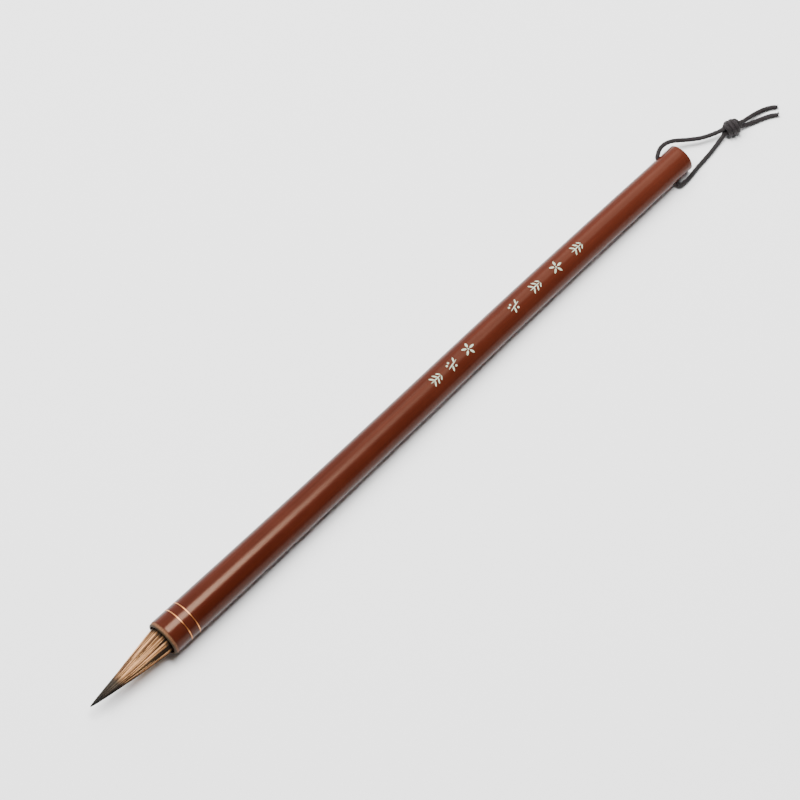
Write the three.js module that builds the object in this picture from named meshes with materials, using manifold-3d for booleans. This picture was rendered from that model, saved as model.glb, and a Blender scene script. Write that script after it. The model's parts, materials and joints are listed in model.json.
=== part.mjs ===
// A bamboo calligraphy brush with a hair tuft, two inlaid wire rings and a hanging loop of cord.
// Units are millimetres. +X runs from the hair's tip to the shaft's tail, +Z is up, and the brush
// lies on its side with its lowest facet on Z = 0.
import * as THREE from "three";
import { mergeVertices } from "three/addons/utils/BufferGeometryUtils.js";
import Module from "manifold-3d";

const wasm = await Module();
wasm.setup();

// Driving dimensions. S is the distance along the brush's own axis from the mouth, where the hair
// comes out: negative over the hair, positive over the shaft.
const SHAFT_LENGTH = 139;
const HAIR_LENGTH = 18;
const MOUTH_RADIUS = 3.62;
const TAIL_RADIUS = 2.85;
const SHAFT_SIDES = 24;
const HAIR_SIDES = 24;

const SOCKET_RADIUS = 3.0;
const SOCKET_DEPTH = 12.5;
const SOCKET_CONE = 1.1;
const CULM_BORE_RADIUS = 1.2;
const CULM_BORE_END = 128;
const LIP_ROUND = 0.36;
const TAIL_ROUND = 0.25;

const RING_PLACES = [4.03, 6.09];
const RING_WIDTH = 0.28;
const RING_DEPTH = 0.16;
const RING_GAP = 0.03;

const HOLE_BEFORE_TAIL = 4.0;
const HOLE_RADIUS = 0.75;
const HOLE_TILT = THREE.MathUtils.degToRad(24);
const HOLE_SIDES = 16;

const TUFT_PIVOT = -2.45;
const TUFT_BALL_RADIUS = 2.4;
const BALL_STEPS = 6;
const CORE_RADIUS = 0.85;
const CORE_GAP = 0.05;
const MANTLE_END = -11.4;
const HAIR_ROOT_END = 9.2;
const HAIR_ROOT_RADIUS = 2.6;

const THREAD_START = 6.4;
const THREAD_TURNS = 6;
const THREAD_PITCH = 0.42;
const THREAD_INNER_RADIUS = 2.42;
const THREAD_SIZE = 0.34;

const GLUE_START = 1.6;
const GLUE_END = 5.8;
const RESIN_LENGTH = 1.3;

const CORD_DIAMETER = 0.85;
const CORD_SIDES = 8;
const CORD_STEP = 1.3;
const HOLE_CORD_HALF_LENGTH = 2.75;
const KNOT_CENTRE = new THREE.Vector3(90.47, -2.14, 1.68);
const KNOT_HEADING = THREE.MathUtils.degToRad(-21);
const KNOT_HALF_SIZE = new THREE.Vector3(1.6, 1.55, 1.55);
const KNOT_WRAPS = [
  { along: -0.55, lean: 14 },
  { along: 0.12, lean: -8 },
  { along: 0.75, lean: 10 },
];

// The cord's route: two strands from the ends of the cross hole to the knot, and the two cut ends.
const LEFT_ROUTE = [
  [74.5, 2.8, 4.12],
  [74.8, 2.98, 4.36],
  [75.2, 3.22, 4.44],
  [75.85, 3.57, 4.3],
  [76.9, 3.88, 3.98],
  [78.35, 3.98, 3.42],
  [79.8, 3.66, 2.85],
  [81.0, 3.02, 2.42],
  [82.07, 2.28, 2.12],
  [83.19, 1.5, 1.93],
  [84.49, 0.62, 1.8],
  [85.78, -0.06, 1.75],
  [87.14, -0.68, 1.8],
  [88.58, -1.26, 1.92],
];
const RIGHT_ROUTE = [
  [74.5, -2.8, 1.62],
  [74.5, -3.1, 1.36],
  [74.72, -3.32, 1.08],
  [75.3, -3.4, 0.84],
  [76.1, -3.42, 0.65],
  [77.1, -3.36, 0.5],
  [78.2, -3.2, 0.44],
  [79.3, -3.05, 0.43],
  [80.6, -2.9, 0.43],
  [82.27, -2.75, 0.43],
  [84.5, -2.53, 0.46],
  [86.64, -2.22, 0.63],
  [87.6, -2.1, 0.84],
  [88.6, -2.04, 1.1],
];
const UPPER_END_ROUTE = [
  [92.3, -2.68, 1.8],
  [93.2, -2.78, 1.56],
  [94.55, -2.88, 1.18],
  [96.19, -3.06, 0.85],
  [97.6, -3.36, 0.63],
  [98.71, -3.72, 0.5],
  [99.62, -4.18, 0.43],
  [100.6, -4.91, 0.44],
];
const LOWER_END_ROUTE = [
  [92.22, -3.02, 0.98],
  [93.0, -3.27, 0.78],
  [94.18, -3.71, 0.58],
  [95.25, -4.12, 0.48],
  [96.33, -4.52, 0.44],
  [97.39, -4.97, 0.43],
  [98.31, -5.44, 0.43],
  [99.4, -6.19, 0.43],
];

// The shaft tapers while its lowest facet lies flat, so its axis falls a little towards the tail.
const AXIS_FALL = Math.atan((MOUTH_RADIUS - TAIL_RADIUS) / SHAFT_LENGTH);

const material = (name, color, roughness, metalness = 0) =>
  new THREE.MeshStandardMaterial({ name, color, roughness, metalness });
const BAMBOO = material("bamboo", 0x8a4430, 0.28);
const COPPER = material("copper_wire", 0xd9a066, 0.3, 1);
const HAIR_PALE = material("hair_pale", 0xc9a072, 0.6);
const HAIR_DARK = material("hair_dark", 0x3c3836, 0.55);
const THREAD = material("thread", 0xe6dfd0, 0.8);
const RESIN = material("resin", 0xb07a2a, 0.35);
const GLUE = material("glue", 0xd8cfae, 0.5);
const CORD = material("cord", 0x352c2d, 0.85);

// The shaft's radius to the middle of a facet.
function shaftRadius(s) {
  return THREE.MathUtils.lerp(MOUTH_RADIUS, TAIL_RADIUS, s / SHAFT_LENGTH);
}

// A solid turned round the brush's axis from [S, radius] points, with a facet's middle straight
// down. The radii are those of the facets' middles.
function turned(profile, sides) {
  const toCorner = 1 / Math.cos(Math.PI / sides);
  const points = profile.map(([s, r]) => new THREE.Vector2(r * toCorner, s));
  const geometry = new THREE.LatheGeometry(points, sides, Math.PI / sides);
  return geometry.rotateZ(-Math.PI / 2);
}

// A geometry as a manifold-3d solid, and back.
function solidOf(geometry) {
  const bare = geometry.index ? geometry.toNonIndexed() : geometry.clone();
  bare.deleteAttribute("normal");
  bare.deleteAttribute("uv");
  const merged = mergeVertices(bare, 1e-4);
  return new wasm.Manifold(
    new wasm.Mesh({
      numProp: 3,
      vertProperties: merged.attributes.position.array,
      triVerts: new Uint32Array(merged.index.array),
    }),
  );
}

function geometryOf(solid) {
  const mesh = solid.getMesh();
  const geometry = new THREE.BufferGeometry();
  geometry.setAttribute("position", new THREE.BufferAttribute(mesh.vertProperties, 3));
  geometry.setIndex(new THREE.BufferAttribute(mesh.triVerts, 1));
  const flat = geometry.toNonIndexed();
  flat.computeVertexNormals();
  return flat;
}

function named(name, geometry, look) {
  const mesh = new THREE.Mesh(geometry, look);
  mesh.name = name;
  return mesh;
}

// Everything that is turned round the brush's axis, with X along it and the mouth at 0.
const brushAxis = new THREE.Group();
const MOUTH_X = (HAIR_LENGTH - SHAFT_LENGTH * Math.cos(AXIS_FALL)) / 2;
brushAxis.position.set(MOUTH_X, 0, MOUTH_RADIUS * Math.cos(AXIS_FALL));
brushAxis.rotation.y = AXIS_FALL;

// ---- Shaft: one bamboo tube, open at the mouth and solid at the tail ----

function ringGroove(place) {
  const half = RING_WIDTH / 2 + RING_GAP;
  const floor = shaftRadius(place) - RING_DEPTH;
  return [
    [place - half, shaftRadius(place - half)],
    [place - half, floor],
    [place + half, floor],
    [place + half, shaftRadius(place + half)],
  ];
}

function crossHole() {
  const hole = new THREE.CylinderGeometry(
    HOLE_RADIUS,
    HOLE_RADIUS,
    4 * TAIL_RADIUS,
    HOLE_SIDES,
  );
  hole.rotateX(HOLE_TILT);
  return hole.translate(SHAFT_LENGTH - HOLE_BEFORE_TAIL, 0, 0);
}

function shaftGeometry() {
  const tailEdge = SHAFT_LENGTH - TAIL_ROUND;
  const profile = [
    [CULM_BORE_END + 1, 0],
    [CULM_BORE_END, CULM_BORE_RADIUS],
    [SOCKET_DEPTH + SOCKET_CONE, CULM_BORE_RADIUS],
    [SOCKET_DEPTH, SOCKET_RADIUS],
    [0, SOCKET_RADIUS],
    [0, MOUTH_RADIUS - LIP_ROUND],
    [LIP_ROUND * 0.3, MOUTH_RADIUS - LIP_ROUND * 0.3],
    [LIP_ROUND, shaftRadius(LIP_ROUND)],
    ...RING_PLACES.flatMap(ringGroove),
    [tailEdge, shaftRadius(tailEdge)],
    [SHAFT_LENGTH, TAIL_RADIUS - TAIL_ROUND],
    [SHAFT_LENGTH, 0],
  ];
  const tube = solidOf(turned(profile, SHAFT_SIDES));
  return geometryOf(tube.subtract(solidOf(crossHole())));
}

function ringGeometry(place) {
  const front = place - RING_WIDTH / 2;
  const rear = place + RING_WIDTH / 2;
  const inner = shaftRadius(place) - RING_DEPTH + RING_GAP;
  const profile = [
    [front, inner],
    [front, shaftRadius(front)],
    [rear, shaftRadius(rear)],
    [rear, inner],
    [front, inner],
  ];
  return turned(profile, SHAFT_SIDES);
}

brushAxis.add(named("shaft", shaftGeometry(), BAMBOO));
brushAxis.add(named("front_ring", ringGeometry(RING_PLACES[0]), COPPER));
brushAxis.add(named("rear_ring", ringGeometry(RING_PLACES[1]), COPPER));

// ---- Hair: a core and a mantle, in a part held by the socket and a part that bends ----

// The tuft's outline where it stands out of the mouth, from the pivot to the tip.
const TUFT_OUTLINE = [
  [-3.5, 2.25],
  [-5.7, 1.95],
  [-8.0, 1.68],
  [-10.2, 1.32],
];
const TIP_OUTLINE = [
  [-12.3, 0.86],
  [-14.0, 0.6],
  [-16.0, 0.3],
  [-HAIR_LENGTH, 0],
];

// The round root of the bending tuft, from one radius to another, as [S, radius] points.
function ball(fromRadius, toRadius) {
  const from = Math.asin(fromRadius / TUFT_BALL_RADIUS);
  const to = Math.asin(toRadius / TUFT_BALL_RADIUS);
  return Array.from({ length: BALL_STEPS + 1 }, (_, i) => {
    const angle = THREE.MathUtils.lerp(from, to, i / BALL_STEPS);
    const s = TUFT_PIVOT + TUFT_BALL_RADIUS * Math.cos(angle);
    return [s, TUFT_BALL_RADIUS * Math.sin(angle)];
  });
}

function coreTipGeometry() {
  const profile = [
    ...ball(0, CORE_RADIUS),
    [MANTLE_END, CORE_RADIUS],
    ...TIP_OUTLINE,
  ].reverse();
  return turned(profile, HAIR_SIDES);
}

function mantleTipGeometry() {
  const bore = CORE_RADIUS + CORE_GAP;
  const profile = [
    ...ball(bore, TUFT_BALL_RADIUS),
    ...TUFT_OUTLINE,
    [MANTLE_END, bore + CORE_GAP],
    [MANTLE_END, bore],
    ball(bore, TUFT_BALL_RADIUS)[0],
  ].reverse();
  return turned(profile, HAIR_SIDES);
}

function coreRootGeometry() {
  const profile = [
    [0, 0],
    [0, CORE_RADIUS],
    [HAIR_ROOT_END, CORE_RADIUS],
    [HAIR_ROOT_END, 0],
  ];
  return turned(profile, HAIR_SIDES);
}

function mantleRootGeometry() {
  const bore = CORE_RADIUS + CORE_GAP;
  const waist = THREAD_INNER_RADIUS - CORE_GAP;
  const threadEnd = THREAD_START + THREAD_TURNS * THREAD_PITCH;
  const profile = [
    [0, bore],
    [0, HAIR_ROOT_RADIUS],
    [THREAD_START - 0.4, HAIR_ROOT_RADIUS],
    [THREAD_START - 0.1, waist],
    [threadEnd + 0.1, waist],
    [HAIR_ROOT_END, waist],
    [HAIR_ROOT_END, bore],
    [0, bore],
  ];
  return turned(profile, HAIR_SIDES);
}

brushAxis.add(named("core_hair_tip", coreTipGeometry(), HAIR_DARK));
brushAxis.add(named("mantle_hair_tip", mantleTipGeometry(), HAIR_PALE));
brushAxis.add(named("core_hair_root", coreRootGeometry(), HAIR_DARK));
brushAxis.add(named("mantle_hair_root", mantleRootGeometry(), HAIR_PALE));

// ---- Inside the socket: the thread that binds the hair, the resin that seals it, the glue ----

function threadGeometry() {
  const crest = THREAD_INNER_RADIUS + THREAD_SIZE;
  const valley = crest - THREAD_SIZE * 0.4;
  const end = THREAD_START + THREAD_TURNS * THREAD_PITCH;
  const scallops = Array.from({ length: THREAD_TURNS }, (_, turn) => {
    const start = THREAD_START + turn * THREAD_PITCH;
    return [
      [start, valley],
      [start + THREAD_PITCH * 0.3, crest],
      [start + THREAD_PITCH * 0.7, crest],
    ];
  }).flat();
  const profile = [
    [THREAD_START, THREAD_INNER_RADIUS],
    ...scallops,
    [end, valley],
    [end, THREAD_INNER_RADIUS],
    [THREAD_START, THREAD_INNER_RADIUS],
  ];
  return turned(profile, HAIR_SIDES);
}

function resinGeometry() {
  const start = HAIR_ROOT_END + CORE_GAP;
  const end = start + RESIN_LENGTH;
  const profile = [
    [start, 0],
    [start, HAIR_ROOT_RADIUS],
    [start + RESIN_LENGTH * 0.6, HAIR_ROOT_RADIUS],
    [end, HAIR_ROOT_RADIUS * 0.7],
    [end, 0],
  ];
  return turned(profile, HAIR_SIDES);
}

function glueGeometry() {
  const inner = HAIR_ROOT_RADIUS + CORE_GAP;
  const outer = SOCKET_RADIUS - CORE_GAP;
  const profile = [
    [GLUE_START, inner],
    [GLUE_START, outer],
    [GLUE_END, outer],
    [GLUE_END, inner],
    [GLUE_START, inner],
  ];
  return turned(profile, HAIR_SIDES);
}

brushAxis.add(named("root_thread", threadGeometry(), THREAD));
brushAxis.add(named("root_resin", resinGeometry(), RESIN));
brushAxis.add(named("socket_glue", glueGeometry(), GLUE));

// ---- Hanging loop: one piece of cord through the cross hole, tied in an overhand knot ----

function cordSection() {
  const section = new THREE.Shape();
  const radius = CORD_DIAMETER / 2;
  const corners = Array.from({ length: CORD_SIDES }, (_, i) => {
    const angle = (2 * Math.PI * i) / CORD_SIDES;
    return new THREE.Vector2(radius * Math.cos(angle), radius * Math.sin(angle));
  });
  return section.setFromPoints(corners);
}

function cordGeometry(route) {
  const points = route.map((point) => new THREE.Vector3(...point));
  const path = new THREE.CatmullRomCurve3(points, false, "centripetal");
  const steps = Math.max(2, Math.round(path.getLength() / CORD_STEP));
  return new THREE.ExtrudeGeometry(cordSection(), {
    steps,
    extrudePath: path,
    bevelEnabled: false,
  });
}

function knotGeometry() {
  const lump = new THREE.SphereGeometry(1, 16, 10);
  lump.scale(KNOT_HALF_SIZE.x * 0.92, KNOT_HALF_SIZE.y * 0.85, KNOT_HALF_SIZE.z * 0.85);
  let knot = solidOf(lump);
  for (const { along, lean } of KNOT_WRAPS) {
    const wrap = new THREE.TorusGeometry(1 - CORD_DIAMETER / 3, CORD_DIAMETER / 2, 8, 20);
    wrap.scale(KNOT_HALF_SIZE.z, KNOT_HALF_SIZE.y, 1);
    wrap.rotateY(Math.PI / 2 + THREE.MathUtils.degToRad(lean));
    wrap.translate(along, 0, 0);
    knot = knot.add(solidOf(wrap));
  }
  return geometryOf(knot);
}

function holeCordGeometry() {
  const cord = new THREE.CylinderGeometry(
    CORD_DIAMETER / 2,
    CORD_DIAMETER / 2,
    2 * HOLE_CORD_HALF_LENGTH,
    CORD_SIDES,
  );
  cord.rotateX(HOLE_TILT);
  return cord.translate(SHAFT_LENGTH - HOLE_BEFORE_TAIL, 0, 0);
}

brushAxis.add(named("cord_in_hole", holeCordGeometry(), CORD));

const knot = named("knot", knotGeometry(), CORD);
knot.position.copy(KNOT_CENTRE);
knot.rotation.z = KNOT_HEADING;

const brush = new THREE.Group();
brush.add(brushAxis);
brush.add(named("cord_left", cordGeometry(LEFT_ROUTE), CORD));
brush.add(named("cord_right", cordGeometry(RIGHT_ROUTE), CORD));
brush.add(named("cord_end_upper", cordGeometry(UPPER_END_ROUTE), CORD));
brush.add(named("cord_end_lower", cordGeometry(LOWER_END_ROUTE), CORD));
brush.add(knot);

export default brush;
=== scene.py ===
"""The looks of the calligraphy brush. Every piece lies in the CAD model's frame, in metres."""

import json
import math

import bpy
import numpy as np
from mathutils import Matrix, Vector


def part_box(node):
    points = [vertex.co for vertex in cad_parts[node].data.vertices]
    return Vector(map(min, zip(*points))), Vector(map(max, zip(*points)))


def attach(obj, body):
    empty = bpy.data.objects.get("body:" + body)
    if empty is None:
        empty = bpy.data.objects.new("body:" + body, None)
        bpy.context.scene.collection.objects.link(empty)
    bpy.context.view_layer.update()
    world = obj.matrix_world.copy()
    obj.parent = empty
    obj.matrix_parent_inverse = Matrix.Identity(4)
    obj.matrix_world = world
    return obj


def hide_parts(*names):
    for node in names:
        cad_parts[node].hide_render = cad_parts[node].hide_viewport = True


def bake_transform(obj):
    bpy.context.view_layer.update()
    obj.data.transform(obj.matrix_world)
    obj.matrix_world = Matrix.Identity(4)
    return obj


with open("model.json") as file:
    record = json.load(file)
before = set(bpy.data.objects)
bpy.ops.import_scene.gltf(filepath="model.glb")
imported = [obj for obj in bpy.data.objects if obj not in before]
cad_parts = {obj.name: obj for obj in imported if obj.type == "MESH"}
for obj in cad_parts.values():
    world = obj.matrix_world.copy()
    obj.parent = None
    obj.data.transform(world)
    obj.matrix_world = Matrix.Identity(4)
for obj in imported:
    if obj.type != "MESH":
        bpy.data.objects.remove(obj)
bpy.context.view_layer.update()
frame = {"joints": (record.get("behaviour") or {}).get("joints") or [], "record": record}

MM = 0.001
SEED = 11


# ---- The frame: where the brush's own axis runs ----

mounts = {mount["name"]: mount for mount in frame["record"]["mounts"]}
joints = {joint["name"]: joint for joint in frame["joints"]}
shaft_low, shaft_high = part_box("shaft")

MOUTH_RADIUS = shaft_high.z / 2
MOUTH = Vector((shaft_low.x, 0, MOUTH_RADIUS))
TAIL = Vector(mounts["tail_face"]["pos_m"])
TAIL_RADIUS = TAIL.z
AXIS = (TAIL - MOUTH).normalized()
ACROSS = Vector((0, 1, 0))
UP = AXIS.cross(ACROSS)
SHAFT_LENGTH = (TAIL - MOUTH).length
HAIR_LENGTH = MOUTH.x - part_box("core_hair_tip")[0].x
HOLE = Vector(joints["loop_swing"]["pos_m"])
HOLE_AXIS = Vector(joints["loop_swing"]["axis"]).normalized()
BOW = 0.2 * MM


def bow(s):
    """How far the slightly crooked bamboo lies to one side of its straight axis."""
    inside = min(max(s / SHAFT_LENGTH, 0), 1)
    return -BOW * math.sin(2 * math.pi * inside)


def place(s, radius=0.0, angle=0.0):
    """The point s behind the mouth, radius off the axis, angle round from the top towards +Y."""
    centre = MOUTH + AXIS * s + ACROSS * bow(s)
    return centre + (UP * math.cos(angle) + ACROSS * math.sin(angle)) * radius


def shaft_radius(s):
    return MOUTH_RADIUS + (TAIL_RADIUS - MOUTH_RADIUS) * s / SHAFT_LENGTH


# ---- Mesh helpers ----


def make_object(name, vertices, faces, sharp_angle=35):
    """A smooth-shaded mesh object with its sharper edges kept sharp."""
    mesh = bpy.data.meshes.new(name)
    mesh.from_pydata([tuple(v) for v in vertices], [], [tuple(f) for f in faces])
    mesh.update()
    mesh.shade_smooth()
    mesh.set_sharp_from_angle(angle=math.radians(sharp_angle))
    obj = bpy.data.objects.new(name, mesh)
    bpy.context.collection.objects.link(obj)
    return obj


def finish_piece(obj, material, body):
    obj.data.materials.append(material)
    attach(obj, body)
    return obj


def smooth_route(points, step):
    """A centripetal Catmull-Rom curve through the points, as evenly spaced points about step apart."""
    pts = np.array([list(p) for p in points], float)
    ends = [2 * pts[0] - pts[1], *pts, 2 * pts[-1] - pts[-2]]
    curve = []
    for p0, p1, p2, p3 in zip(ends, ends[1:], ends[2:], ends[3:]):
        t1 = np.linalg.norm(p1 - p0) ** 0.5
        t2 = t1 + np.linalg.norm(p2 - p1) ** 0.5
        t3 = t2 + np.linalg.norm(p3 - p2) ** 0.5
        for t in np.linspace(t1, t2, 16, endpoint=False):
            a1 = p0 * (t1 - t) / t1 + p1 * t / t1
            a2 = p1 * (t2 - t) / (t2 - t1) + p2 * (t - t1) / (t2 - t1)
            a3 = p2 * (t3 - t) / (t3 - t2) + p3 * (t - t2) / (t3 - t2)
            b1 = a1 * (t2 - t) / t2 + a2 * t / t2
            b2 = a2 * (t3 - t) / (t3 - t1) + a3 * (t - t1) / (t3 - t1)
            curve.append(b1 * (t2 - t) / (t2 - t1) + b2 * (t - t1) / (t2 - t1))
    curve.append(pts[-1])
    curve = np.array(curve)
    along = np.concatenate([[0], np.cumsum(np.linalg.norm(np.diff(curve, axis=0), axis=1))])
    at = np.linspace(0, along[-1], max(2, round(along[-1] / step) + 1))
    return np.stack([np.interp(at, along, curve[:, k]) for k in range(3)], axis=1)


def carried_frames(points):
    """Two directions square to the line at each of its points, turned as little as can be."""
    tangents = np.gradient(points, axis=0)
    tangents /= np.linalg.norm(tangents, axis=1)[:, None]
    start = np.cross(tangents[0], [0.31, 0.17, 0.94])
    normals = [start / np.linalg.norm(start)]
    for tangent in tangents[1:]:
        moved = normals[-1] - tangent * (normals[-1] @ tangent)
        normals.append(moved / np.linalg.norm(moved))
    normals = np.array(normals)
    return normals, np.cross(tangents, normals)


def tube(points, radii, sides, plies=1, lay=1.0, ridge=0.0, first=0):
    """A closed tube's vertices and faces, with a braid of that many plies each way in relief.

    lay is the length of one whole twist, ridge the relief's share of the radius, and first the
    number of the tube's first vertex in its mesh.
    """
    normals, binormals = carried_frames(points)
    along = np.concatenate([[0], np.cumsum(np.linalg.norm(np.diff(points, axis=0), axis=1))])
    angles = np.arange(sides) * 2 * math.pi / sides
    vertices = []
    for point, normal, binormal, radius, length in zip(points, normals, binormals, radii, along):
        twist = 2 * math.pi * length / lay
        forward = np.abs(np.cos((angles * plies + twist) / 2))
        backward = np.abs(np.cos((angles * plies - twist) / 2))
        bumps = 1 - ridge + ridge * np.maximum(forward, backward)
        ring = radius * bumps
        offsets = np.outer(np.cos(angles) * ring, normal) + np.outer(np.sin(angles) * ring, binormal)
        vertices.extend(point + offsets)
    faces = []
    for row in range(len(points) - 1):
        for side in range(sides):
            a = first + row * sides + side
            b = first + row * sides + (side + 1) % sides
            faces.append((a, b, b + sides, a + sides))
    last = first + (len(points) - 1) * sides
    faces.append(tuple(range(first + sides - 1, first - 1, -1)))
    faces.append(tuple(range(last, last + sides)))
    return vertices, faces


def turned(profile, sides, closed=True):
    """Vertices and faces of a solid turned round the brush's axis from (s, radius) points.

    A closed profile makes a ring. An open one gets a flat face at each end.
    """
    vertices = []
    for s, radius in profile:
        for side in range(sides):
            vertices.append(place(s, radius, 2 * math.pi * side / sides))
    rows = len(profile)
    faces = []
    for row in range(rows if closed else rows - 1):
        following = (row + 1) % rows
        for side in range(sides):
            turn = (side + 1) % sides
            faces.append(
                (
                    row * sides + side,
                    row * sides + turn,
                    following * sides + turn,
                    following * sides + side,
                )
            )
    if not closed:
        faces.append(tuple(range(sides - 1, -1, -1)))
        faces.append(tuple(range((rows - 1) * sides, rows * sides)))
    return vertices, faces


# ---- Material helpers ----


class Look:
    """A node material with one Principled shader."""

    def __init__(self, name, **values):
        self.material = bpy.data.materials.new(name)
        self.material.use_nodes = True
        self.tree = self.material.node_tree
        self.shader = self.tree.nodes["Principled BSDF"]
        for socket, value in values.items():
            self.shader.inputs[socket.replace("_", " ")].default_value = value

    def node(self, kind, **settings):
        made = self.tree.nodes.new(kind)
        for key, value in settings.items():
            setattr(made, key, value)
        return made

    def join(self, output, target):
        self.tree.links.new(output, target)

    def into(self, output, socket):
        self.join(output, self.shader.inputs[socket])

    def position(self, scale):
        """The object's own coordinates, stretched by scale, which is per metre."""
        coordinates = self.node("ShaderNodeTexCoord")
        mapping = self.node("ShaderNodeMapping")
        mapping.inputs["Scale"].default_value = scale
        self.join(coordinates.outputs["Object"], mapping.inputs["Vector"])
        return mapping.outputs["Vector"]

    def noise(self, vector, scale=1.0, detail=4.0, roughness=0.55):
        made = self.node("ShaderNodeTexNoise")
        made.inputs["Scale"].default_value = scale
        made.inputs["Detail"].default_value = detail
        made.inputs["Roughness"].default_value = roughness
        self.join(vector, made.inputs["Vector"])
        return made.outputs["Fac"]

    def ramp(self, value, *stops):
        made = self.node("ShaderNodeValToRGB")
        band = made.color_ramp
        while len(band.elements) < len(stops):
            band.elements.new(0.5)
        for element, (at, colour) in zip(band.elements, stops):
            element.position = at
            element.color = (*colour, 1) if isinstance(colour, tuple) else (colour,) * 3 + (1,)
        self.join(value, made.inputs["Fac"])
        return made.outputs["Color"]

    def mix(self, share, first, second, blend="MIX"):
        made = self.node("ShaderNodeMix", data_type="RGBA", blend_type=blend)
        for socket, value in (("Factor", share), ("A", first), ("B", second)):
            target = [i for i in made.inputs if i.name == socket and i.enabled][0]
            if isinstance(value, bpy.types.NodeSocket):
                self.join(value, target)
            elif isinstance(value, tuple):
                target.default_value = (*value, 1)
            else:
                target.default_value = value
        return [o for o in made.outputs if o.enabled][0]

    def maths(self, operation, first, second):
        made = self.node("ShaderNodeMath", operation=operation)
        for target, value in zip(made.inputs, (first, second)):
            if isinstance(value, bpy.types.NodeSocket):
                self.join(value, target)
            else:
                target.default_value = value
        return made.outputs["Value"]

    def attribute(self, name):
        return self.node("ShaderNodeAttribute", attribute_name=name).outputs["Fac"]

    def bump(self, height, strength, distance):
        made = self.node("ShaderNodeBump")
        made.inputs["Strength"].default_value = strength
        made.inputs["Distance"].default_value = distance
        self.join(height, made.inputs["Height"])
        self.into(made.outputs["Normal"], "Normal")


def set_attribute(obj, name, values):
    made = obj.data.attributes.new(name, "FLOAT", "POINT")
    made.data.foreach_set("value", np.asarray(values, np.float32))


# ---- Camera: looks down on the brush from beyond its hair and to one side ----

CAMERA_PLACE = Vector((-0.2167, -0.2105, 0.6371))
CAMERA_HEADING = math.radians(44.04)
CAMERA_DROP = math.radians(64.18)
CAMERA_VIEW = math.radians(12.02)


def make_camera():
    data = bpy.data.cameras.new("camera")
    data.angle = CAMERA_VIEW
    data.clip_start = 0.01
    camera = bpy.data.objects.new("camera", data)
    bpy.context.collection.objects.link(camera)
    flat = math.cos(CAMERA_DROP)
    gaze = Vector(
        (
            math.cos(CAMERA_HEADING) * flat,
            math.sin(CAMERA_HEADING) * flat,
            -math.sin(CAMERA_DROP),
        )
    )
    camera.location = CAMERA_PLACE
    camera.rotation_euler = gaze.to_track_quat("-Z", "Y").to_euler()
    bpy.context.scene.camera = camera


make_camera()


# ---- Cord: one piece through the cross hole, each half with its way through the knot ----

CORD_DIAMETER = 0.85 * MM
CORD_FLUFF = 1.02
CORD_SIDES = 24
CORD_STEP = 0.1 * MM
CORD_LAY = 1.1 * MM
CORD_PLIES = 4
CORD_RELIEF = 0.12

# The knot's sizes below are in millimetres, along and off its own axis.
KNOT_CENTRE = Vector((90.47, -2.14, 1.72)) * MM
KNOT_HEADING = math.radians(-21)
KNOT_TURN = 0.35
KNOT_HALF_LENGTH = 1.5
WRAP_RADIUS = 1.24
WRAP_TAPER = 0.16
WRAP_PITCH = 1.66
WRAP_TURNS = 1.3
WRAP_STEPS = 14
WRAP_LAG = 0.95
TURN_BACK_RADIUS = 0.78
PASS_RADIUS = 0.5

FRAY_FIBRES = 26
FRAY_SIDES = 5
FRAY_STEP = 0.12 * MM
HOLE_CORD_POINTS = 50
HOLE_CORD_SPARE = 0.3 * MM

# The routes of the two strands from the cross hole to the knot, and of the two cut ends, in
# millimetres.
LEFT_ROUTE = [
    (74.5, 2.8, 4.12),
    (74.8, 2.98, 4.36),
    (75.2, 3.22, 4.44),
    (75.85, 3.57, 4.3),
    (76.9, 3.88, 3.98),
    (78.35, 3.98, 3.42),
    (79.8, 3.66, 2.85),
    (81.0, 3.02, 2.42),
    (82.07, 2.28, 2.12),
    (83.19, 1.5, 1.93),
    (84.49, 0.62, 1.8),
    (85.78, -0.06, 1.75),
    (87.14, -0.68, 1.8),
    (88.25, -1.13, 1.9),
]
RIGHT_ROUTE = [
    (74.5, -2.8, 1.62),
    (74.5, -3.1, 1.36),
    (74.72, -3.32, 1.08),
    (75.3, -3.4, 0.84),
    (76.1, -3.42, 0.65),
    (77.1, -3.36, 0.5),
    (78.2, -3.2, 0.44),
    (79.3, -3.05, 0.43),
    (80.6, -2.9, 0.43),
    (82.27, -2.75, 0.43),
    (84.5, -2.53, 0.46),
    (86.64, -2.22, 0.63),
    (87.6, -2.1, 0.84),
    (88.3, -2.05, 1.04),
]
UPPER_END_ROUTE = [
    (92.5, -2.7, 1.8),
    (93.2, -2.78, 1.56),
    (94.55, -2.88, 1.18),
    (96.19, -3.06, 0.85),
    (97.6, -3.36, 0.63),
    (98.71, -3.72, 0.5),
    (99.62, -4.18, 0.43),
    (100.5, -4.84, 0.44),
]
LOWER_END_ROUTE = [
    (92.4, -3.07, 0.96),
    (93.0, -3.27, 0.78),
    (94.18, -3.71, 0.58),
    (95.25, -4.12, 0.48),
    (96.33, -4.52, 0.44),
    (97.39, -4.97, 0.43),
    (98.31, -5.44, 0.43),
    (99.3, -6.12, 0.43),
]


def knot_point(along, radius, angle):
    """A point of the knot, along its axis towards the cut ends and off it, in millimetres."""
    ahead = Vector((math.cos(KNOT_HEADING), math.sin(KNOT_HEADING), 0))
    aside = Vector((-math.sin(KNOT_HEADING), math.cos(KNOT_HEADING), 0))
    turned_to = aside * math.sin(angle) + Vector((0, 0, 1)) * math.cos(angle)
    return (ahead * along + turned_to * radius) * MM + KNOT_CENTRE


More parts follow.
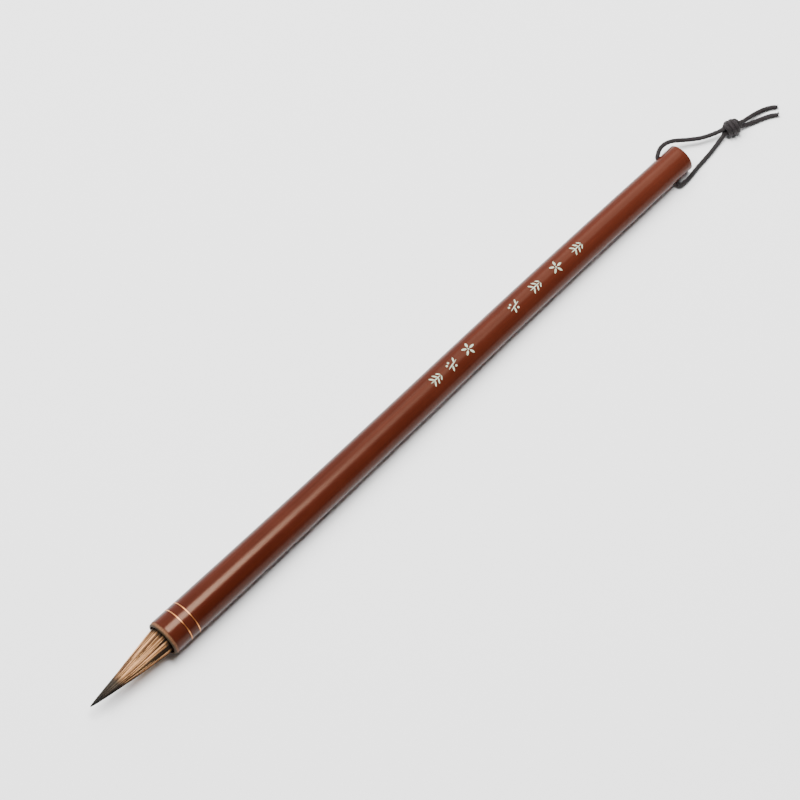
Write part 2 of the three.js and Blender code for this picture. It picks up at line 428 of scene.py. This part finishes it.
def knot_route(first_angle):
    """One strand's way through the knot: through it, round it back to its start and through again."""
    wrap_start = first_angle + WRAP_LAG
    wrap_angle = WRAP_TURNS * 2 * math.pi
    wrap_end = wrap_start + wrap_angle
    last_angle = wrap_end + WRAP_LAG
    points = [
        knot_point(-KNOT_HALF_LENGTH, PASS_RADIUS, first_angle),
        knot_point(-0.4, PASS_RADIUS, first_angle),
        knot_point(0.7, PASS_RADIUS + 0.05, first_angle),
        knot_point(1.3, TURN_BACK_RADIUS, first_angle + 0.35),
    ]
    for step in range(WRAP_STEPS + 1):
        share = step / WRAP_STEPS
        along = WRAP_PITCH * WRAP_TURNS * (0.5 - share)
        radius = WRAP_RADIUS - WRAP_TAPER * (2 * share - 1) ** 2
        points.append(knot_point(along, radius, wrap_start + wrap_angle * share))
    points += [
        knot_point(-1.3, TURN_BACK_RADIUS, wrap_end + 0.6),
        knot_point(-0.8, PASS_RADIUS + 0.03, last_angle),
        knot_point(0.4, PASS_RADIUS, last_angle),
        knot_point(KNOT_HALF_LENGTH, PASS_RADIUS, last_angle),
    ]
    return points


def cord_material():
    look = Look("cord_thread", Roughness=0.7, Sheen_Weight=0.06, Specular_IOR_Level=0.2)
    grain = look.noise(look.position((9000, 9000, 9000)), detail=3)
    patches = look.noise(look.position((700, 700, 700)), detail=2)
    fibres = look.ramp(grain, (0.3, (0.004, 0.0032, 0.0032)), (0.7, (0.016, 0.012, 0.0125)))
    tinted = look.mix(look.ramp(patches, (0.4, 0.0), (0.65, 0.5)), fibres, (0.018, 0.013, 0.0145))
    look.into(tinted, "Base Color")
    look.bump(grain, 0.5, 0.03 * MM)
    return look.material


def make_cord_piece(name, line, material):
    """The braided cord along a line of points."""
    radii = np.full(len(line), CORD_DIAMETER / 2 * CORD_FLUFF)
    vertices, faces = tube(line, radii, CORD_SIDES, CORD_PLIES, CORD_LAY, CORD_RELIEF)
    piece = make_object(name, vertices, faces, 60)
    return finish_piece(piece, material, "loop")


def half_cord_line(route, through, end_route):
    """One half's centreline: from the hole to the knot, through it and on to the cut end."""
    to_knot = [Vector(p) * MM for p in route]
    to_end = [Vector(p) * MM for p in end_route]
    return smooth_route(to_knot + through + to_end, CORD_STEP)


def make_fray(name, line, rng, material):
    """The cut end's loose fibres, which stay above the surface that the brush lies on."""
    end = line[-1]
    ahead = line[-1] - line[-4]
    ahead /= np.linalg.norm(ahead)
    vertices, faces = [], []
    for _ in range(FRAY_FIBRES):
        aside = rng.normal(size=3)
        aside -= ahead * (aside @ ahead)
        aside /= np.linalg.norm(aside)
        root = end - ahead * 0.15 * MM + aside * rng.uniform(0.05, 0.3) * MM
        reach = rng.uniform(0.35, 0.75) * MM
        splay = aside * rng.uniform(0.1, 0.75)
        middle = root + (ahead + splay * 0.4) * reach * 0.55
        tip = root + (ahead + splay) * reach
        tip[2] = max(tip[2], 0.08 * MM)
        middle[2] = max(middle[2], 0.1 * MM)
        fibre = smooth_route([root, middle, tip], FRAY_STEP)
        radii = np.linspace(0.05, 0.022, len(fibre)) * MM
        more_vertices, more_faces = tube(fibre, radii, FRAY_SIDES, first=len(vertices))
        vertices += more_vertices
        faces += more_faces
    return finish_piece(make_object(name, vertices, faces), material, "loop")


def make_hole_cord(material):
    """The stretch of cord through the cross hole, which reaches into the start of each half."""
    low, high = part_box("cord_in_hole")
    half = (high.y - low.y) / 2 / HOLE_AXIS.y + HOLE_CORD_SPARE
    shares = np.linspace(-1, 1, HOLE_CORD_POINTS)
    line = np.array([HOLE + HOLE_AXIS * half * share for share in shares])
    piece = make_cord_piece("cord_inside_hole", line, material)
    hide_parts("cord_in_hole")
    return piece


def make_cords():
    rng = np.random.default_rng(SEED)
    material = cord_material()
    inside_hole = make_hole_cord(material)
    left_nodes = ("cord_left", "cord_end_upper", "knot")
    right_nodes = ("cord_right", "cord_end_lower")
    right_turn = KNOT_TURN + math.pi
    halves = (
        ("left", LEFT_ROUTE, KNOT_TURN, UPPER_END_ROUTE, left_nodes, [inside_hole]),
        ("right", RIGHT_ROUTE, right_turn, LOWER_END_ROUTE, right_nodes, []),
    )
    for side, route, turn, end_route, nodes, others in halves:
        line = half_cord_line(route, knot_route(turn), end_route)
        piece = make_cord_piece("cord_half_" + side, line, material)
        fray = make_fray("cord_fray_" + side, line, rng, material)
        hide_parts(*nodes)


make_cords()


# ---- Shaft ----

SOCKET_RADIUS = 3.0 * MM
SOCKET_DEPTH = 12.5 * MM
SOCKET_CONE = 1.1 * MM
CULM_BORE_RADIUS = 1.2 * MM
CULM_BORE_END = 128 * MM
SHAFT_SIDES = 160
SHAFT_ROWS = 150
LIP_LENGTH = 0.84 * MM
HOLE_RADIUS = 0.62 * MM
HOLE_SIDES = 32
TAIL_ROUND = 0.3 * MM
TAIL_STEPS = 6
RIM_RADIUS = 3.42 * MM
RIM_FADE = 0.08 * MM


def shaft_profile():
    """(s, radius) points: out of the bore and socket, round the lip, along to the tail and over it."""
    inner_edge = (0.1 * MM, SOCKET_RADIUS + 0.02 * MM)
    inner_lip = (0.02 * MM, SOCKET_RADIUS + 0.1 * MM)
    outer_lip = [
        (0.02 * MM, MOUTH_RADIUS - 0.34 * MM),
        (0.1 * MM, MOUTH_RADIUS - 0.2 * MM),
        (0.24 * MM, MOUTH_RADIUS - 0.11 * MM),
        (0.42 * MM, MOUTH_RADIUS - 0.06 * MM),
        (LIP_LENGTH - 0.08 * MM, shaft_radius(LIP_LENGTH) - 0.03 * MM),
        (LIP_LENGTH, shaft_radius(LIP_LENGTH)),
    ]
    body = []
    for s in np.linspace(LIP_LENGTH + 0.1 * MM, SHAFT_LENGTH - TAIL_ROUND, SHAFT_ROWS):
        body.append((s, shaft_radius(s)))
    tail = []
    for step in range(1, TAIL_STEPS + 1):
        turn = math.pi / 2 * step / TAIL_STEPS
        s = SHAFT_LENGTH - TAIL_ROUND * (1 - math.sin(turn))
        tail.append((s, TAIL_RADIUS - TAIL_ROUND * (1 - math.cos(turn))))
    culm_bore = [
        (CULM_BORE_END, CULM_BORE_RADIUS),
        (SOCKET_DEPTH + SOCKET_CONE, CULM_BORE_RADIUS),
    ]
    socket = [(SOCKET_DEPTH, SOCKET_RADIUS), (1.0 * MM, SOCKET_RADIUS)]
    return [*culm_bore, *socket, inner_edge, inner_lip, *outer_lip, *body, *tail]


def cut_cross_hole(obj):
    line = np.array([HOLE + HOLE_AXIS * t * 6 * MM for t in (-1, 0, 1)])
    vertices, faces = tube(line, np.full(len(line), HOLE_RADIUS), HOLE_SIDES)
    cutter = make_object("hole_cutter", vertices, faces)
    cut = obj.modifiers.new("hole", "BOOLEAN")
    cut.operation = "DIFFERENCE"
    cut.solver = "EXACT"
    cut.object = cutter
    shown = obj.evaluated_get(bpy.context.evaluated_depsgraph_get())
    mesh = bpy.data.meshes.new_from_object(shown)
    obj.modifiers.clear()
    obj.data = mesh
    bpy.data.objects.remove(cutter)
    obj.data.shade_smooth()
    obj.data.set_sharp_from_angle(angle=math.radians(40))


def store_places(obj):
    """Stores how far each point lies behind the mouth, in millimetres, and if it is out at the rim."""
    points = np.array([v.co for v in obj.data.vertices]) - np.array(MOUTH)
    along = points @ np.array(AXIS)
    radius = np.linalg.norm(points - np.outer(along, np.array(AXIS)), axis=1)
    set_attribute(obj, "along", along / MM)
    set_attribute(obj, "rim", np.clip((radius - RIM_RADIUS) / RIM_FADE, 0, 1))


def lacquer_material():
    look = Look("lacquered_bamboo", Specular_IOR_Level=0.13, Specular_Tint=(1, 0.66, 0.47, 1))
    grain = look.noise(look.position((60, 5200, 5200)), detail=5, roughness=0.6)
    streaks = look.noise(look.position((16, 1300, 1300)), detail=3)
    clouds = look.noise(look.position((90, 160, 160)), detail=3)
    speck = look.noise(look.position((2600, 6500, 6500)), detail=2)
    base = look.ramp(
        streaks,
        (0.25, (0.032, 0.0052, 0.0024)),
        (0.5, (0.041, 0.0068, 0.0031)),
        (0.75, (0.053, 0.0094, 0.0044)),
    )
    fine = look.mix(look.ramp(grain, (0.35, 0.45), (0.62, 0.0)), base, (0.03, 0.0052, 0.0028))
    pale = look.mix(look.ramp(clouds, (0.45, 0.0), (0.75, 0.3)), fine, (0.074, 0.0165, 0.0085))
    dotted = look.mix(look.ramp(speck, (0.68, 0.0), (0.76, 0.4)), pale, (0.09, 0.028, 0.016))
    along = look.attribute("along")
    rim = look.attribute("rim")
    share_along = look.maths("DIVIDE", along, SHAFT_LENGTH / MM)
    to_tail = look.ramp(share_along, (0.0, 0.0), (0.6, 0.2), (1.0, 0.5))
    warmer = look.mix(to_tail, dotted, (0.082, 0.0185, 0.0098))
    raw_grain = look.noise(look.position((2500, 4200, 4200)), detail=4)
    # The end face inside the rim: bamboo end grain, painted darker as painted shade on the face that
    # turns away from the light.
    end_grain_and_shade = look.ramp(raw_grain, (0.3, (0.02, 0.013, 0.007)), (0.7, (0.06, 0.04, 0.022)))
    worn_rim = look.ramp(raw_grain, (0.3, (0.08, 0.033, 0.016)), (0.7, (0.16, 0.07, 0.036)))
    stained = look.ramp(raw_grain, (0.3, (0.034, 0.012, 0.006)), (0.7, (0.075, 0.027, 0.013)))
    nose = look.ramp(raw_grain, (0.3, (0.045, 0.028, 0.017)), (0.7, (0.1, 0.062, 0.036)))
    raw = look.mix(rim, end_grain_and_shade, nose)
    waver = look.maths("MULTIPLY", look.maths("SUBTRACT", clouds, 0.5), 0.3)
    edge = look.maths("DIVIDE", look.maths("ADD", along, waver), 2.0)
    worn = look.ramp(edge, (0.15, 0.0), (0.2, 1.0))
    stain = look.ramp(edge, (0.35, 0.0), (0.38, 1.0))
    lacquered = look.ramp(edge, (0.42, 0.0), (0.45, 1.0))
    lip = look.mix(stain, look.mix(worn, raw, worn_rim), stained)
    look.into(look.mix(lacquered, lip, warmer), "Base Color")
    look.into(look.mix(lacquered, (0.55,) * 3, (0.2,) * 3), "Roughness")
    look.bump(grain, 0.1, 0.02 * MM)
    return look.material


def make_shaft():
    vertices, faces = turned(shaft_profile(), SHAFT_SIDES, closed=False)
    shaft = make_object("bamboo_shaft", vertices, faces, 40)
    cut_cross_hole(shaft)
    store_places(shaft)
    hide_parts("shaft")
    return finish_piece(shaft, lacquer_material(), "handle")


make_shaft()


# ---- Wire rings ----

RING_SIDES = 200
RING_STEPS = 8
RING_PROUD = 0.025 * MM
RING_HALF_WIDTH = 0.09 * MM
RING_ROOT = 0.1 * MM


def wire_material():
    look = Look("copper_wire", Metallic=1.0)
    tarnish = look.noise(look.position((900, 900, 900)), detail=4)
    colour = look.ramp(
        tarnish,
        (0.3, (0.4, 0.15, 0.05)),
        (0.5, (0.62, 0.25, 0.08)),
        (0.72, (0.8, 0.37, 0.135)),
    )
    look.into(colour, "Base Color")
    look.into(look.ramp(tarnish, (0.3, 0.45), (0.7, 0.22)), "Roughness")
    scratches = look.noise(look.position((15000, 2500, 2500)), detail=3)
    look.bump(scratches, 0.3, 0.01 * MM)
    return look.material


def make_ring(node, material):
    low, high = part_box(node)
    middle = ((low + high) / 2 - MOUTH).dot(AXIS)
    radius = shaft_radius(middle)
    profile = []
    for step in range(RING_STEPS + 1):
        turn = math.pi * (1 - step / RING_STEPS)
        s = middle + RING_HALF_WIDTH * math.cos(turn)
        profile.append((s, radius + RING_PROUD * math.sin(turn)))
    profile.append((middle + RING_HALF_WIDTH, radius - RING_ROOT))
    profile.append((middle - RING_HALF_WIDTH, radius - RING_ROOT))
    vertices, faces = turned(profile, RING_SIDES)
    ring = make_object("wire_" + node, vertices, faces, 50)
    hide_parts(node)
    return finish_piece(ring, material, "handle")


def make_rings():
    material = wire_material()
    make_ring("front_ring", material)
    make_ring("rear_ring", material)


make_rings()


# ---- Painted marks: small leaf and blossom motifs in a row along the top of the shaft ----

# In millimetres: each mark's distance behind the mouth, and the row's shift off the top line.
MARK_PLACES = (70.9, 75.1, 79.6, 92.0, 97.9, 103.6, 109.3)
ROW_SHIFT = -0.22
PAINT_THICKNESS = 0.012 * MM
PAINT_ROOT = 0.05 * MM
LEAF_POINTS = 16
PETALS = 5

# Each motif is made of pointed leaves: (along, across, heading in degrees, length, width).
SPRIG = [
    (-0.05, 0.0, 0, 2.7, 0.19),
    (-0.72, 0.56, 125, 1.2, 0.3),
    (-0.72, -0.56, -125, 1.2, 0.3),
    (0.14, 0.6, 122, 1.15, 0.29),
    (0.14, -0.6, -122, 1.15, 0.29),
    (0.95, 0.5, 130, 0.95, 0.25),
    (0.95, -0.5, -130, 0.95, 0.25),
]
PETAL_TURNS = [2 * math.pi * petal / PETALS for petal in range(PETALS)]
BLOSSOM = [(0.0, 0.0, 0, 0.3, 0.3)] + [
    (0.85 * math.cos(turn), 0.85 * math.sin(turn), math.degrees(turn), 1.05, 0.42)
    for turn in PETAL_TURNS
]
BERRIES = [
    (0.1, -0.1, 12, 2.6, 0.2),
    (0.85, 0.52, 60, 1.05, 0.34),
    (-0.3, -0.8, -115, 1.1, 0.34),
    (-0.9, 0.42, 0, 0.42, 0.42),
    (-0.3, 0.68, 0, 0.42, 0.42),
    (0.5, -0.72, 0, 0.42, 0.42),
]
MOTIFS = (SPRIG, BERRIES, BLOSSOM, BERRIES, SPRIG, BLOSSOM, SPRIG)


def leaf_outline(length, width):
    """A leaf pointed at both ends, or a dot where it is as wide as it is long."""
    power = 1.0 if length <= width else 1.35
    outline = []
    for step in range(LEAF_POINTS):
        turn = 2 * math.pi * step / LEAF_POINTS
        side = math.copysign(abs(math.sin(turn)) ** power, math.sin(turn))
        outline.append((length / 2 * math.cos(turn), width / 2 * side))
    return outline


def paint_material():
    look = Look("mark_paint", Roughness=0.5)
    worn = look.noise(look.position((3600, 3600, 3600)), detail=3)
    tone = look.ramp(worn, (0.35, (0.2, 0.24, 0.16)), (0.6, (0.42, 0.5, 0.36)))
    rubbed = look.ramp(worn, (0.24, 0.9), (0.34, 0.0))
    look.into(look.mix(rubbed, tone, (0.06, 0.03, 0.018)), "Base Color")
    look.bump(worn, 0.3, 0.02 * MM)
    return look.material


def make_mark(index, at, motif, material):
    """One motif: its leaves are low domes of paint, bent round the shaft."""
    vertices, faces = [], []
    for along, across, heading, length, width in motif:
        turn = math.radians(heading)
        first = len(vertices)
        outline = leaf_outline(length, width)
        for lift in (PAINT_THICKNESS, -PAINT_ROOT):
            for x, y in outline:
                s = (at + along + x * math.cos(turn) - y * math.sin(turn)) * MM
                arc = (ROW_SHIFT + across + x * math.sin(turn) + y * math.cos(turn)) * MM
                vertices.append(place(s, shaft_radius(s) + lift, arc / shaft_radius(s)))
        count = len(outline)
        s = (at + along) * MM
        centre = len(vertices)
        crown = shaft_radius(s) + 1.6 * PAINT_THICKNESS
        vertices.append(place(s, crown, (ROW_SHIFT + across) * MM / shaft_radius(s)))
        for k in range(count):
            after = (k + 1) % count
            faces.append((centre, first + after, first + k))
            faces.append((first + k, first + after, first + count + after, first + count + k))
        faces.append(tuple(first + count + k for k in range(count)))
    mark = make_object("painted_mark_%d" % index, vertices, faces, 50)
    return finish_piece(mark, material, "handle")


def make_marks():
    material = paint_material()
    for index, (at, motif) in enumerate(zip(MARK_PLACES, MOTIFS), 1):
        make_mark(index, at, motif, material)


make_marks()


# ---- Hair ----

CORE_SIDES = 72
LOCKS = 32
UNDER_STRANDS = 420
STRANDS_IN_LOCK = 23
LOOSE_HAIRS = 90
STRAND_STEPS = 18
STRAND_SIDES = 4
ROOT_DEPTH = 2.2 * MM
TUFT_SWAY = 0.13 * MM
CORE_ROWS = 76
CORE_REACH = 17.9 * MM

# The tuft's outline, from its root in the socket to its tip: distance out of the mouth and radius,
# in millimetres.
TUFT_OUTLINE = (
    (-9.2, 2.6),
    (-1.0, 2.7),
    (0.0, 2.71),
    (1.3, 2.57),
    (3.5, 2.25),
    (5.75, 1.94),
    (8.0, 1.64),
    (10.2, 1.29),
    (12.4, 0.99),
    (14.3, 0.75),
    (16.1, 0.5),
    (17.2, 0.3),
    (17.75, 0.16),
    (18.0, 0.03),
)


def tuft_radius(out):
    reach, radii = zip(*TUFT_OUTLINE)
    return float(np.interp(out / MM, reach, radii)) * MM


def tuft_point(out, share, angle):
    """The point out of the mouth, at that share of the tuft's radius. The tuft bows a little."""
    sway = TUFT_SWAY * math.sin(math.pi * max(out, 0) / HAIR_LENGTH)
    return place(-out, tuft_radius(out) * share, angle) - ACROSS * sway


def hair_material():
    look = Look("tuft_hair", Roughness=0.42, Specular_IOR_Level=0.16)
    tone = look.attribute("tone")
    out = look.attribute("out")
    fine = look.noise(look.position((300, 9000, 9000)), detail=3)
    shift = look.maths("MULTIPLY", look.maths("SUBTRACT", fine, 0.5), 0.25)
    # Painted shade: the hair's tone falls to a quarter at the mouth, standing for the lip's shadow on
    # the hair.
    shaded = look.maths("MULTIPLY", tone, look.ramp(out, (0.0, 0.25), (0.05, 1.0)))
    mixed = look.maths("ADD", shaded, shift)
    pale = look.ramp(
        mixed,
        (0.05, (0.007, 0.004, 0.0025)),
        (0.28, (0.04, 0.022, 0.011)),
        (0.5, (0.15, 0.078, 0.036)),
        (0.75, (0.42, 0.205, 0.088)),
        (1.0, (0.84, 0.46, 0.215)),
    )
    dark = look.ramp(
        mixed,
        (0.1, (0.006, 0.005, 0.0042)),
        (0.5, (0.036, 0.029, 0.0225)),
        (1.0, (0.12, 0.091, 0.065)),
    )
    uneven = look.maths("ADD", out, look.maths("MULTIPLY", tone, 0.05))
    tipped = look.ramp(uneven, (0.6, 0.0), (0.69, 1.0))
    ink = look.ramp(out, (0.7, 0.0), (0.88, 0.7), (1.0, 0.85))
    tip_colour = look.mix(ink, dark, (0.005, 0.0045, 0.0045))
    look.into(look.mix(tipped, pale, tip_colour), "Base Color")
    look.bump(fine, 0.25, 0.02 * MM)
    return look.material


class Strands:
    """Collects thin tapering hairs as one mesh, with each point's tone and place along the hair."""

    def __init__(self):
        self.vertices = []
        self.faces = []
        self.tones = []
        self.outs = []

    def add(self, line, outs, thickness, tones):
        steps = np.linspace(0, 1, len(line))
        radii = thickness * np.clip(1.12 - steps**2.5, 0.15, 1)
        vertices, faces = tube(np.array(line), radii, STRAND_SIDES, first=len(self.vertices))
        self.vertices += vertices
        self.faces += faces
        for out, tone in zip(outs, tones):
            self.outs += [max(out, 0) / HAIR_LENGTH] * STRAND_SIDES
            self.tones += [min(max(tone, 0), 1)] * STRAND_SIDES

    def make(self, name):
        obj = make_object(name, self.vertices, self.faces, 60)
        set_attribute(obj, "tone", self.tones)
        set_attribute(obj, "out", self.outs)
        return obj


def add_under_strands(strands, rng):
    """Darker hairs below the locks, seen where the locks part. Their low tone is partly dark hair,
    partly painted shade in the gaps between locks.
    """
    for _ in range(UNDER_STRANDS):
        angle = rng.uniform(0, 2 * math.pi)
        share = rng.uniform(0.8, 0.9)
        reach = rng.uniform(0.8, 0.97)
        tone = rng.uniform(0.02, 0.32)
        wander = rng.normal(0, 0.05)
        line, outs, tones = [], [], []
        for t in np.linspace(0, 1, STRAND_STEPS):
            out = t * (HAIR_LENGTH * reach + ROOT_DEPTH) - ROOT_DEPTH
            line.append(tuft_point(out, share * (1 - 0.1 * t**3), angle + wander * math.sin(3 * t)))
            outs.append(out)
            tones.append(tone)
        strands.add(line, outs, rng.uniform(0.05, 0.08) * MM, tones)


def add_lock(strands, rng, middle):
    """A lock of hairs side by side, crowned in its middle. The -Y side's locks get painted shade,
    darker where they turn away from the light.
    """
    # Painted shade: locks on the -Y side are darkened by their angle, as the side away from the light.
    painted_side_shade = 0.3 * max(0, -math.sin(middle + 0.15)) ** 0.7
    lock_tone = rng.choice([0.92, 0.7, 0.42], p=[0.5, 0.3, 0.2]) + rng.normal(0, 0.05) - painted_side_shade
    # Painted shade at the root end of some locks, near the mouth, where the locks part.
    root_shade = rng.choice([0.0, 0.25, 0.5], p=[0.5, 0.3, 0.2])
    shade_reach = rng.uniform(2.0, 5.0) * MM
    lift = rng.normal(0, 0.018)
    reach = rng.uniform(0.8, 0.99)
    drift = rng.normal(0, 0.1)
    phase = rng.uniform(0, 2 * math.pi)
    half_width = math.pi / LOCKS * rng.uniform(0.72, 1.1)
    for _ in range(STRANDS_IN_LOCK):
        across = rng.uniform(-1, 1)
        own_reach = min(reach * rng.uniform(0.93, 1.04), 0.998)
        # Painted shade: each hair darkens towards its lock's edges, in the gaps between locks.
        own_tone = lock_tone + rng.normal(0, 0.13) - 0.28 * across**4
        own_lift = rng.normal(0, 0.008)
        line, outs, tones = [], [], []
        for t in np.linspace(0, 1, STRAND_STEPS):
            out = t * (HAIR_LENGTH * own_reach + ROOT_DEPTH) - ROOT_DEPTH
            spread = 0.8 + 0.45 * t
            angle = middle + across * half_width * spread + drift * math.sin(2.2 * t + phase) * t
            crown = 0.035 * (1 - across**2) * math.sin(math.pi * min(1.2 * t, 1))
            share = 0.95 + lift * math.sin(2 * t + phase) + own_lift + crown - 0.06 * t**4
            shade = root_shade * math.exp(-max(out, 0) / shade_reach)
            line.append(tuft_point(out, share, angle))
            outs.append(out)
            tones.append(own_tone - shade + 0.13 * math.sin(5 * t + phase))
        strands.add(line, outs, rng.uniform(0.045, 0.075) * MM, tones)


def add_loose_hairs(strands, rng):
    """Single hairs that lie over the locks, a little out of line with them."""
    for _ in range(LOOSE_HAIRS):
        angle = rng.uniform(0, 2 * math.pi)
        slant = rng.normal(0, 0.16)
        start = rng.uniform(0, 0.35)
        reach = rng.uniform(0.6, 0.9)
        tone = rng.choice([0.1, 0.25, 0.95], p=[0.4, 0.25, 0.35])
        line, outs, tones = [], [], []
        for t in np.linspace(0, 1, STRAND_STEPS):
            out = HAIR_LENGTH * (start + (reach - start) * t) - (ROOT_DEPTH if start < 0.12 else 0)
            share = 0.985 + 0.02 * math.sin(math.pi * t)
            line.append(tuft_point(out, share, angle + slant * t))
            outs.append(out)
            tones.append(tone)
        strands.add(line, outs, rng.uniform(0.035, 0.05) * MM, tones)


def make_hair_core(material):
    """The body of hair under the strands, from the bound root in the socket to near the tip."""
    vertices, outs = [], []
    rows = np.linspace(TUFT_OUTLINE[0][0] * MM, CORE_REACH, CORE_ROWS)
    for out in rows:
        for side in range(CORE_SIDES):
            angle = 2 * math.pi * side / CORE_SIDES
            share = 0.84 + 0.02 * math.sin(13 * angle) + 0.015 * math.sin(29 * angle + 1)
            vertices.append(tuft_point(out, share, angle))
            outs.append(max(out, 0) / HAIR_LENGTH)
    faces = []
    for row in range(CORE_ROWS - 1):
        for side in range(CORE_SIDES):
            a = row * CORE_SIDES + side
            b = row * CORE_SIDES + (side + 1) % CORE_SIDES
            faces.append((b, a, a + CORE_SIDES, b + CORE_SIDES))
    faces.append(tuple(range(CORE_SIDES)))
    last = (CORE_ROWS - 1) * CORE_SIDES
    faces.append(tuple(range(last + CORE_SIDES - 1, last - 1, -1)))
    core = make_object("hair_body", vertices, faces, 60)
    # The body's low tone is partly painted shade, where it shows dark between the locks.
    set_attribute(core, "tone", np.full(len(vertices), 0.1))
    set_attribute(core, "out", outs)
    core.data.materials.append(material)
    return core


def make_strands(material):
    rng = np.random.default_rng(SEED + 1)
    strands = Strands()
    add_under_strands(strands, rng)
    for lock in range(LOCKS):
        add_lock(strands, rng, 2 * math.pi * (lock + rng.uniform(-0.3, 0.3)) / LOCKS)
    add_loose_hairs(strands, rng)
    obj = strands.make("hair_strands")
    obj.data.materials.append(material)
    return obj


def make_hair():
    material = hair_material()
    core = make_hair_core(material)
    strands = make_strands(material)
    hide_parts("core_hair_tip", "core_hair_root")
    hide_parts("mantle_hair_tip", "mantle_hair_root")
    for piece in (core, strands):
        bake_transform(piece)


make_hair()


# ---- The CAD pieces inside the socket keep their shapes and get better materials ----


def inner_material(name, dark, pale, roughness, scale):
    """A mottled material between two colours. scale is the mottle's fineness, per metre."""
    look = Look(name, Roughness=roughness)
    mottle = look.noise(look.position(scale), detail=4)
    look.into(look.ramp(mottle, (0.3, dark), (0.7, pale)), "Base Color")
    look.bump(mottle, 0.4, 0.05 * MM)
    return look.material


INNER_LOOKS = {
    "root_thread": ("binding_thread", (0.5, 0.44, 0.33), (0.78, 0.72, 0.6), 0.85, (9000, 900, 900)),
    "root_resin": ("set_rosin", (0.25, 0.11, 0.03), (0.5, 0.27, 0.08), 0.3, (600, 600, 600)),
    "socket_glue": ("dried_glue", (0.4, 0.32, 0.2), (0.66, 0.58, 0.42), 0.5, (900, 900, 900)),
}
for node, look_values in INNER_LOOKS.items():
    inner = bpy.data.objects[node]
    inner.data.materials.clear()
    inner.data.materials.append(inner_material(*look_values))


# ---- Floor and light ----


FLOOR_HALF = 4.0
FLOOR_DROP = 0.02 * MM


def make_floor():
    mesh = bpy.data.meshes.new("floor")
    half = FLOOR_HALF
    corners = [(-half, -half, 0), (half, -half, 0), (half, half, 0), (-half, half, 0)]
    mesh.from_pydata(corners, [], [(0, 1, 2, 3)])
    floor = bpy.data.objects.new("floor", mesh)
    bpy.context.collection.objects.link(floor)
    floor.location.z = -FLOOR_DROP
    look = Look("floor_paper", Roughness=0.75, Specular_IOR_Level=0.25)
    look.shader.inputs["Base Color"].default_value = (0.86, 0.86, 0.86, 1)
    mesh.materials.append(look.material)


def make_lamp(name, place_at, aim, size, size_y, power, shape="RECTANGLE"):
    data = bpy.data.lights.new(name, "AREA")
    data.shape = shape
    data.size = size
    data.size_y = size_y
    data.energy = power
    lamp = bpy.data.objects.new(name, data)
    bpy.context.collection.objects.link(lamp)
    lamp.location = place_at
    lamp.rotation_euler = (Vector(aim) - Vector(place_at)).to_track_quat("-Z", "Y").to_euler()


def make_light():
    world = bpy.data.worlds.new("studio")
    bpy.context.scene.world = world
    world.use_nodes = True
    sky = world.node_tree.nodes["Background"]
    sky.inputs["Color"].default_value = (1, 1, 1, 1)
    sky.inputs["Strength"].default_value = 0.1
    make_lamp("strip_softbox", (0.106, 0.065, 0.7), (0.106, 0.065, 0), 0.13, 0.5, 11, "ELLIPSE")
    make_lamp("side_softbox", (0.6, 0.95, 0.65), (0.6, 0, 0), 1.5, 1.3, 11)
    make_lamp("tail_softbox", (0.56, 0.42, 1.02), (0.56, 0, 0), 0.38, 1.2, 8)
    make_lamp("key_softbox", (-0.3, 0.45, 0.85), (0, 0, 0), 0.5, 0.5, 11)


make_floor()
make_light()
